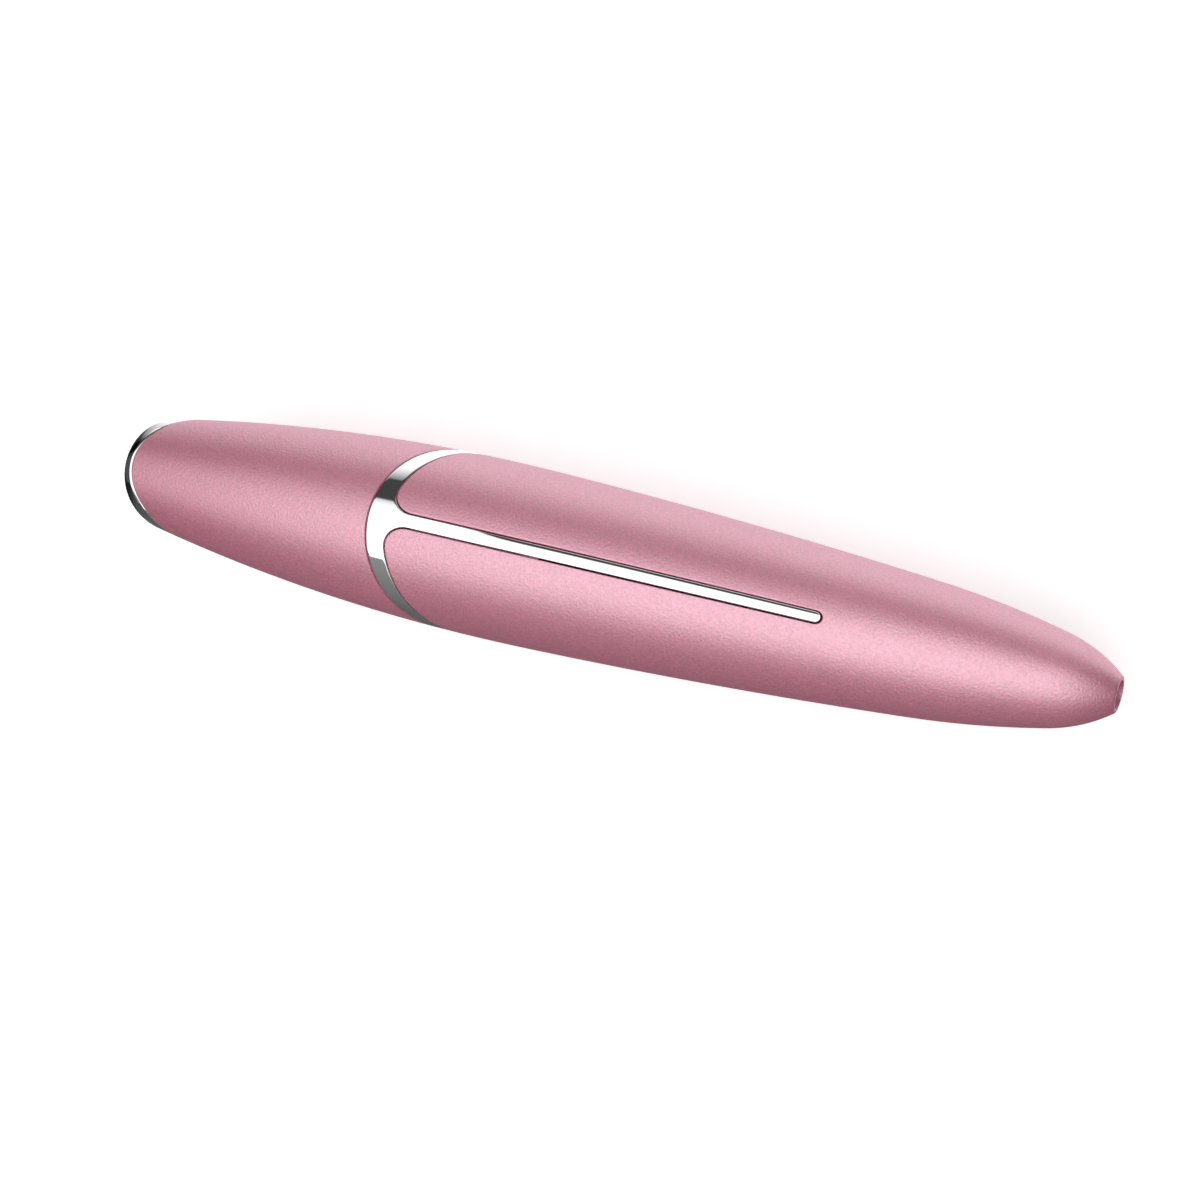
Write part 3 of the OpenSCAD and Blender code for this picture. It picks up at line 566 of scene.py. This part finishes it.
for vert in bm.verts:
    x, y = BUTTON_X + vert.co.x, -vert.co.y
    front = math.sqrt(skin(x)**2 - y**2)
    vert.co = (x, y, -(front + vert.co.z) if vert.co.z > -0.5 else flange_top - FLANGE_T)
made = bmesh.ops.create_cone(bm, cap_ends=True, segments=BUTTON_SIDES, radius1=flange_r,
                             radius2=flange_r, depth=FLANGE_T,
                             matrix=Matrix.Translation((BUTTON_X, 0, flange_top - FLANGE_T / 2)))
flange_edges = {e for v in made["verts"] for e in v.link_edges
                if any(len(f.verts) > 4 for f in e.link_faces)}
bmesh.ops.bevel(bm, geom=list(flange_edges), offset=FLANGE_ROUND, segments=2, profile=0.5,
                affect="EDGES", material=-1)
button = finished(bm, "press_button", "power_button", "button")

# %% [markdown]
# ## Finishes
# Every finish starts from the same few moves: a noise in Object coordinates at the real grain's
# size, which tints the colour, moves the roughness and lifts a faint bump. Object coordinates stay
# put on the piece when it moves and when it is exported.

# %% Helpers for node materials


def new_finish(name, metallic=0.0):
    """A material, its node tree and its shader."""
    material = bpy.data.materials.new(name)
    material.use_nodes = True
    shader = material.node_tree.nodes["Principled BSDF"]
    shader.inputs["Metallic"].default_value = metallic
    return material, material.node_tree, shader


def object_place(tree):
    return tree.nodes.new("ShaderNodeTexCoord").outputs["Object"]


def noise(tree, size, detail=2.0, stretch=(1, 1, 1)):
    """Noise whose grains are about size mm across."""
    mapping = tree.nodes.new("ShaderNodeMapping")
    mapping.inputs["Scale"].default_value = stretch
    tree.links.new(object_place(tree), mapping.inputs["Vector"])
    texture = tree.nodes.new("ShaderNodeTexNoise")
    texture.inputs["Scale"].default_value = 1 / (size * MM)
    texture.inputs["Detail"].default_value = detail
    tree.links.new(mapping.outputs["Vector"], texture.inputs["Vector"])
    return texture.outputs["Fac"]


def spread(tree, value, low, high, start=0.3, end=0.7):
    """A value between start and end, laid out from low to high."""
    node = tree.nodes.new("ShaderNodeMapRange")
    for key, number in (("From Min", start), ("From Max", end), ("To Min", low), ("To Max", high)):
        node.inputs[key].default_value = number
    tree.links.new(value, node.inputs["Value"])
    return node.outputs["Result"]


def tint(tree, shader, value, dark, light):
    """Base colour between two colours by a value from 0 to 1."""
    mix = tree.nodes.new("ShaderNodeMix")
    mix.data_type = "RGBA"
    mix.inputs["A"].default_value = (*dark, 1)
    mix.inputs["B"].default_value = (*light, 1)
    tree.links.new(value, mix.inputs["Factor"])
    tree.links.new(mix.outputs["Result"], shader.inputs["Base Color"])


def lift(tree, shader, value, depth, strength=1.0):
    """A bump depth mm deep."""
    bump = tree.nodes.new("ShaderNodeBump")
    bump.inputs["Strength"].default_value = strength
    bump.inputs["Distance"].default_value = depth * MM
    tree.links.new(value, bump.inputs["Height"])
    tree.links.new(bump.outputs["Normal"], shader.inputs["Normal"])


def shade(colour, factor):
    return tuple(min(channel * factor, 1) for channel in colour)


# %% [markdown]
# ### Pink flake paint
# The paint is satin: a pink ground full of fine metal flakes under a thin clear coat. Up close each
# flake catches the light at its own angle, so the paint looks grainy, a little lighter or darker
# every few tenths of a millimetre. Three fine noises give that grain: one in the colour, one in the
# roughness and one in the bump. The index of refraction is far above that of a real clear coat. It
# stands in for the shine of the flakes and was set by measured shades of the photograph.

# %% Paint
PINK = (0.72, 0.13, 0.235)
paint, tree, shader = new_finish("pink_flake_paint", metallic=0.2)
flakes = noise(tree, 0.26, detail=3.0)
tint(tree, shader, spread(tree, flakes, 0, 1, 0.25, 0.75), shade(PINK, 0.66), shade(PINK, 1.34))
tree.links.new(spread(tree, noise(tree, 0.4), 0.44, 0.54), shader.inputs["Roughness"])
lift(tree, shader, noise(tree, 0.28, detail=2.0), 0.045, 1.0)
shader.inputs["IOR"].default_value = 5.6
shader.inputs["Specular Tint"].default_value = (1.0, 0.92, 0.99, 1)
print("paint ground", PINK)

# %% [markdown]
# ### Bright metal
# Ring and tongue are chrome plate, a near mirror. The cap is polished metal. A real mirror surface
# is never the same all over: wiping leaves a haze that varies over some millimetres, so the
# roughness moves between two low values. The colour stays almost even.

# %% Chrome and polished cap
finishes = {"flake_paint": paint}
METALS = (("bright_chrome", "chrome_trim", (0.86, 0.86, 0.88), 0.035, 0.075),
          ("polished_metal", "polished_plate", (0.80, 0.80, 0.82), 0.05, 0.11))
for name, slot, colour, low, high in METALS:
    metal, tree, shader = new_finish(name, metallic=1.0)
    haze = noise(tree, 3.0, detail=4.0)
    tint(tree, shader, spread(tree, haze, 0, 1), shade(colour, 0.97), colour)
    tree.links.new(spread(tree, haze, low, high), shader.inputs["Roughness"])
    lift(tree, shader, noise(tree, 0.9, detail=2.0), 0.0006, 0.6)
    finishes[slot] = metal

# %% [markdown]
# ### Finishes of the inner parts
# Seals, foam, boards, wires and the motor are seen only when the wand is taken apart, but each has
# its own ground colour from the record, a grain of its own size and its own gloss. One table holds
# what differs, and one loop builds them.

# %% Inner finishes
# slot: metallic, least and most roughness, grain in mm, colour spread, bump in mm, grain stretch
TABLE = {
    "seal_rubber": (0, 0.55, 0.75, 0.25, 0.10, 0.010, (1, 1, 1)),
    "sleeve_rubber": (0, 0.60, 0.80, 0.30, 0.12, 0.015, (1, 1, 1)),
    "film_amber": (0, 0.22, 0.36, 0.80, 0.10, 0.008, (1, 4, 1)),
    "grey_foam": (0, 0.85, 0.97, 0.35, 0.22, 0.080, (1, 1, 1)),
    "ivory_plastic": (0, 0.40, 0.52, 0.40, 0.05, 0.006, (1, 1, 1)),
    "black_plastic": (0, 0.38, 0.50, 0.30, 0.12, 0.008, (1, 1, 1)),
    "zinc_steel": (1, 0.26, 0.40, 0.30, 0.08, 0.004, (1, 6, 6)),
    "magnet_grey": (1, 0.45, 0.60, 0.20, 0.12, 0.006, (1, 1, 1)),
    "bush_brass": (1, 0.22, 0.34, 0.25, 0.08, 0.004, (8, 1, 1)),
    "winding_copper": (1, 0.28, 0.40, 0.22, 0.16, 0.030, (1, 9, 9)),
    "tungsten_grey": (1, 0.40, 0.55, 0.20, 0.12, 0.010, (1, 1, 1)),
    "cell_wrap": (0, 0.24, 0.34, 1.20, 0.06, 0.010, (1, 1, 1)),
    "nickel_strip": (1, 0.24, 0.38, 0.35, 0.06, 0.004, (1, 8, 8)),
    "board_green": (0, 0.26, 0.40, 0.60, 0.18, 0.010, (1, 4, 1)),
    "gold_contact": (1, 0.16, 0.28, 0.25, 0.06, 0.002, (1, 1, 1)),
    "red_wire": (0, 0.32, 0.44, 0.40, 0.08, 0.006, (1, 1, 1)),
    "black_wire": (0, 0.34, 0.46, 0.40, 0.10, 0.006, (1, 1, 1)),
}
SCREEN_CURVE = 2.2
for row in frame["record"]["materials"]:
    if row["slot"] not in TABLE:
        continue
    metallic, low, high, grain, share, depth, stretch = TABLE[row["slot"]]
    material, tree, shader = new_finish(row["slot"], metallic)
    ground = [channel**SCREEN_CURVE for channel in row["base_color"]]
    value = noise(tree, grain, 3.0, stretch)
    tint(tree, shader, spread(tree, value, 0, 1), shade(ground, 1 - share),
         shade(ground, 1 + share))
    tree.links.new(spread(tree, value, low, high), shader.inputs["Roughness"])
    lift(tree, shader, value, depth, 0.8)
    finishes[row["slot"]] = material

# %% Dress every piece
for piece, slot in ((rear_shell, "flake_paint"), (head_shell, "flake_paint"),
                    (button, "flake_paint"), (trim, "chrome_trim"), (cap, "polished_plate")):
    piece.data.materials.append(finishes[slot])
for row in frame["record"]["subparts"]:
    cad_mesh = frame["nodes"][row["node"]].data
    cad_mesh.materials.clear()
    cad_mesh.materials.append(finishes[row["material_slot"]])

# %% [markdown]
# ## Floor and studio light
# The wand lies on a white table. Above it hangs a long white softbox, with a dark gap beside it
# that draws the dark band along the upper side of the paint and the dark block in the ring. The
# room grows grey on the near side. All of it depends on the angle round the wand's axis, so the
# world shader is one colour ramp over that angle. Towards both ends of the wand it is dimmed, which
# draws the dark outline of the cap. The floor is hidden from mirror rays, so the metal shows this
# room below the horizon too, and not the white table.

# %% Studio
FLOOR_Z, FLOOR_HALF = -11.5, 3
FLOOR_LIT, FLOOR_SEEN, FLOOR_GLOW = 0.65, 0.9, 0.45
bm = bmesh.new()
bmesh.ops.create_grid(bm, x_segments=1, y_segments=1, size=FLOOR_HALF)
bmesh.ops.translate(bm, verts=bm.verts[:], vec=(0, 0, FLOOR_Z * MM))
mesh = bpy.data.meshes.new("table_top")
bm.to_mesh(mesh)
bm.free()
floor = bpy.data.objects.new("table_top", mesh)
scene.collection.objects.link(floor)
floor.visible_glossy = False

surface, tree, shader = new_finish("white_table")
shader.inputs["Roughness"].default_value = 1.0
shader.inputs["Specular IOR Level"].default_value = 0.0
shader.inputs["Emission Color"].default_value = (1, 1, 1, 1)
seen = tree.nodes.new("ShaderNodeLightPath").outputs["Is Camera Ray"]
tint(tree, shader, seen, (FLOOR_LIT,) * 3, (FLOOR_SEEN,) * 3)
tree.links.new(spread(tree, seen, 0, FLOOR_GLOW, 0, 1), shader.inputs["Emission Strength"])
mesh.materials.append(surface)

# stops of the ramp: angle from straight up towards +Y in degrees, brightness
LIGHT = [(-180, 0.12), (-131, 0.13), (-53, 0.30), (-52, 1.75), (9, 1.75), (26, 0.80), (27, 0.06),
         (58, 0.06), (59, 0.27), (82, 1.3), (180, 1.3)]
LIGHT_TOP = 1.75
END_LIGHT, END_START, END_FULL = 0.05, 0.55, 0.72
world = bpy.data.worlds.new("studio")
scene.world = world
world.use_nodes = True
tree = world.node_tree
ground = tree.nodes["Background"]
ground.inputs["Strength"].default_value = LIGHT_TOP
split = tree.nodes.new("ShaderNodeSeparateXYZ")
tree.links.new(tree.nodes.new("ShaderNodeTexCoord").outputs["Generated"], split.inputs["Vector"])
angle = tree.nodes.new("ShaderNodeMath")
angle.operation = "ARCTAN2"
tree.links.new(split.outputs["Y"], angle.inputs[0])
tree.links.new(split.outputs["Z"], angle.inputs[1])
ramp = tree.nodes.new("ShaderNodeValToRGB")
tree.links.new(spread(tree, angle.outputs["Value"], 0, 1, -math.pi, math.pi), ramp.inputs["Fac"])
stops = ramp.color_ramp.elements
for index, (degrees, brightness) in enumerate(LIGHT):
    place = (degrees + 180) / 360
    stop = stops[index] if index < 2 else stops.new(place)
    stop.position = place
    stop.color = (brightness / LIGHT_TOP,) * 3 + (1,)
dim = tree.nodes.new("ShaderNodeVectorMath")
dim.operation = "SCALE"
tree.links.new(ramp.outputs["Color"], dim.inputs[0])
sideways = tree.nodes.new("ShaderNodeMath")
sideways.operation = "ABSOLUTE"
tree.links.new(split.outputs["X"], sideways.inputs[0])
ends_dimmed = spread(tree, sideways.outputs["Value"], 1, END_LIGHT, END_START, END_FULL)
tree.links.new(ends_dimmed, dim.inputs["Scale"])
tree.links.new(dim.outputs["Vector"], ground.inputs["Color"])
print("studio ramp with", len(stops), "stops")
